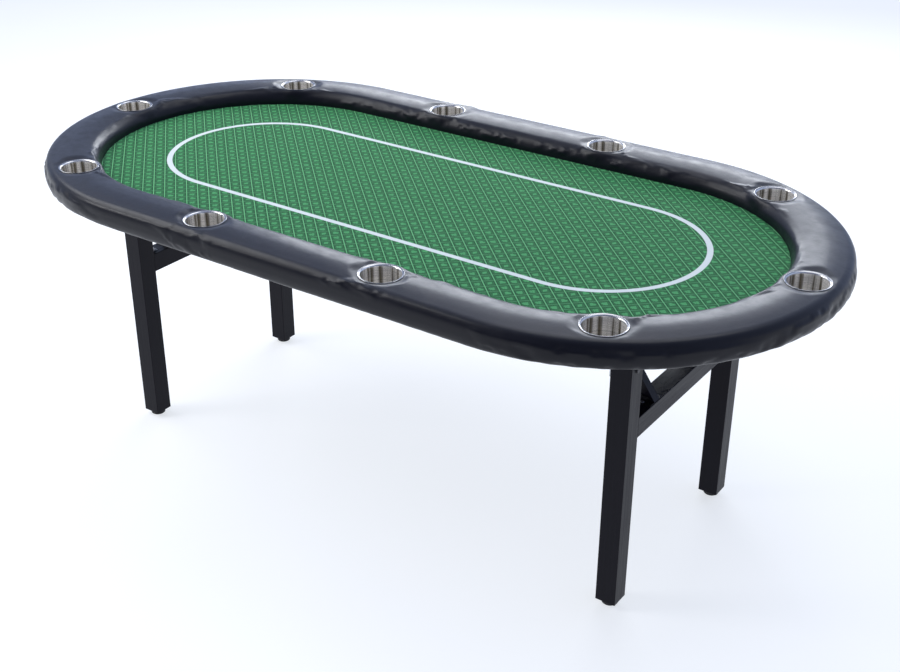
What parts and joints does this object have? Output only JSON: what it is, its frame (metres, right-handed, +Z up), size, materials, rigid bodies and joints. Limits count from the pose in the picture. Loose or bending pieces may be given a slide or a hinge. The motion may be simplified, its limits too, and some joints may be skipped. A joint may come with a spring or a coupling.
{
  "type": "poker table",
  "caption": "Racetrack-shaped card table with a padded rail, drop-in metal cup holders, a cloth playing surface and two folding, braced wooden leg frames.",
  "frame": {"origin": "on the floor, under the middle of the table", "axes": "+X along the table's length to the right end, +Y to the back long side, +Z up"},
  "size_m": [2.128, 1.112, 0.783],
  "materials": {
    "playing_cloth": "smooth green speed cloth with a paler woven-in diamond lattice and a white betting line",
    "rail_vinyl": "glossy black leatherette with a fine grain",
    "padding_foam": "open-cell foam",
    "plywood": "bare sanded plywood",
    "black_paint": "satin black paint over wood",
    "bare_wood": "bare beech",
    "cup_steel": "brushed stainless steel with a polished rim",
    "zinc_steel": "bright zinc plate",
    "dark_steel": "black oxide",
    "foot_rubber": "matte"
  },
  "bodies": {
    "tabletop": {"tabletop_board": "black_paint", "surface_foam": "padding_foam", "speed_cloth": "playing_cloth", "rail_base": "plywood", "apron_strip": "plywood", "rail_foam": "padding_foam", "rail_cover": "rail_vinyl", "rail_bolts": "dark_steel", "rail_tee_nuts": "zinc_steel", "leg_mount_blocks": "black_paint", "leg_hinge_fixed_leaves": "zinc_steel", "leg_hinge_pins": "zinc_steel", "brace_clevises": "zinc_steel", "brace_rivets": "zinc_steel", "underside_screws": "zinc_steel"},
    "leg_frame_right": {"leg_front_right": "black_paint", "leg_back_right": "black_paint", "cross_bar_right": "black_paint", "bar_dowels_right": "bare_wood", "corner_brackets_right": "zinc_steel", "brace_catches_right": "dark_steel", "leg_hinge_straps_right": "zinc_steel", "carriage_bolts_right": "dark_steel", "bolt_nuts_right": "dark_steel", "frame_screws_right": "zinc_steel", "foot_inserts_right": "zinc_steel"},
    "leg_frame_left": {"leg_front_left": "black_paint", "leg_back_left": "black_paint", "cross_bar_left": "black_paint", "bar_dowels_left": "bare_wood", "corner_brackets_left": "zinc_steel", "brace_catches_left": "dark_steel", "leg_hinge_straps_left": "zinc_steel", "carriage_bolts_left": "dark_steel", "bolt_nuts_left": "dark_steel", "frame_screws_left": "zinc_steel", "foot_inserts_left": "zinc_steel"},
    "brace_front_right": {"brace_front_right": "black_paint"},
    "foot_front_right": {"foot_pad_front_right": "foot_rubber", "foot_stud_front_right": "zinc_steel"},
    "brace_back_right": {"brace_back_right": "black_paint"},
    "foot_back_right": {"foot_pad_back_right": "foot_rubber", "foot_stud_back_right": "zinc_steel"},
    "brace_back_left": {"brace_back_left": "black_paint"},
    "foot_back_left": {"foot_pad_back_left": "foot_rubber", "foot_stud_back_left": "zinc_steel"},
    "brace_front_left": {"brace_front_left": "black_paint"},
    "foot_front_left": {"foot_pad_front_left": "foot_rubber", "foot_stud_front_left": "zinc_steel"},
    "cup_01": {"cup_holder_01": "cup_steel"},
    "cup_02": {"cup_holder_02": "cup_steel"},
    "cup_03": {"cup_holder_03": "cup_steel"},
    "cup_04": {"cup_holder_04": "cup_steel"},
    "cup_05": {"cup_holder_05": "cup_steel"},
    "cup_06": {"cup_holder_06": "cup_steel"},
    "cup_07": {"cup_holder_07": "cup_steel"},
    "cup_08": {"cup_holder_08": "cup_steel"},
    "cup_09": {"cup_holder_09": "cup_steel"},
    "cup_10": {"cup_holder_10": "cup_steel"}
  },
  "joints": [
    {"name": "leg_fold_right", "type": "hinge", "parent": "tabletop", "child": "leg_frame_right", "pos_m": [0.698, 0, 0.686], "axis": [0, 1, 0], "range_deg": [0, 90]},
    {"name": "leg_fold_left", "type": "hinge", "parent": "tabletop", "child": "leg_frame_left", "pos_m": [-0.698, 0, 0.686], "axis": [0, -1, 0], "range_deg": [0, 90]},
    {"name": "brace_swing_front_right", "type": "hinge", "parent": "tabletop", "child": "brace_front_right", "pos_m": [0.58586, -0.16, 0.69], "axis": [0, -1, 0], "range_deg": [0, 55]},
    {"name": "foot_height_front_right", "type": "slide", "parent": "leg_frame_right", "child": "foot_front_right", "axis": [0, 0, -1], "range_m": [0, 0.008]},
    {"name": "brace_swing_back_right", "type": "hinge", "parent": "tabletop", "child": "brace_back_right", "pos_m": [0.58586, 0.16, 0.69], "axis": [0, -1, 0], "range_deg": [0, 55]},
    {"name": "foot_height_back_right", "type": "slide", "parent": "leg_frame_right", "child": "foot_back_right", "axis": [0, 0, -1], "range_m": [0, 0.008]},
    {"name": "brace_swing_back_left", "type": "hinge", "parent": "tabletop", "child": "brace_back_left", "pos_m": [-0.58586, 0.16, 0.69], "axis": [0, 1, 0], "range_deg": [0, 55]},
    {"name": "foot_height_back_left", "type": "slide", "parent": "leg_frame_left", "child": "foot_back_left", "axis": [0, 0, -1], "range_m": [0, 0.008]},
    {"name": "brace_swing_front_left", "type": "hinge", "parent": "tabletop", "child": "brace_front_left", "pos_m": [-0.58586, -0.16, 0.69], "axis": [0, 1, 0], "range_deg": [0, 55]},
    {"name": "foot_height_front_left", "type": "slide", "parent": "leg_frame_left", "child": "foot_front_left", "axis": [0, 0, -1], "range_m": [0, 0.008]},
    {"name": "cup_lift_01", "type": "slide", "parent": "tabletop", "child": "cup_01", "axis": [0, 0, 1], "range_m": [0, 0.09]},
    {"name": "cup_lift_02", "type": "slide", "parent": "tabletop", "child": "cup_02", "axis": [0, 0, 1], "range_m": [0, 0.09]},
    {"name": "cup_lift_03", "type": "slide", "parent": "tabletop", "child": "cup_03", "axis": [0, 0, 1], "range_m": [0, 0.09]},
    {"name": "cup_lift_04", "type": "slide", "parent": "tabletop", "child": "cup_04", "axis": [0, 0, 1], "range_m": [0, 0.09]},
    {"name": "cup_lift_05", "type": "slide", "parent": "tabletop", "child": "cup_05", "axis": [0, 0, 1], "range_m": [0, 0.09]},
    {"name": "cup_lift_06", "type": "slide", "parent": "tabletop", "child": "cup_06", "axis": [0, 0, 1], "range_m": [0, 0.09]},
    {"name": "cup_lift_07", "type": "slide", "parent": "tabletop", "child": "cup_07", "axis": [0, 0, 1], "range_m": [0, 0.09]},
    {"name": "cup_lift_08", "type": "slide", "parent": "tabletop", "child": "cup_08", "axis": [0, 0, 1], "range_m": [0, 0.09]},
    {"name": "cup_lift_09", "type": "slide", "parent": "tabletop", "child": "cup_09", "axis": [0, 0, 1], "range_m": [0, 0.09]},
    {"name": "cup_lift_10", "type": "slide", "parent": "tabletop", "child": "cup_10", "axis": [0, 0, 1], "range_m": [0, 0.09]}
  ],
  "couplings": [
    {"joint": "brace_swing_front_right", "follows": "leg_fold_right", "ratio": 0.611},
    {"joint": "brace_swing_back_right", "follows": "leg_fold_right", "ratio": 0.611},
    {"joint": "brace_swing_back_left", "follows": "leg_fold_left", "ratio": 0.611},
    {"joint": "brace_swing_front_left", "follows": "leg_fold_left", "ratio": 0.611}
  ]
}
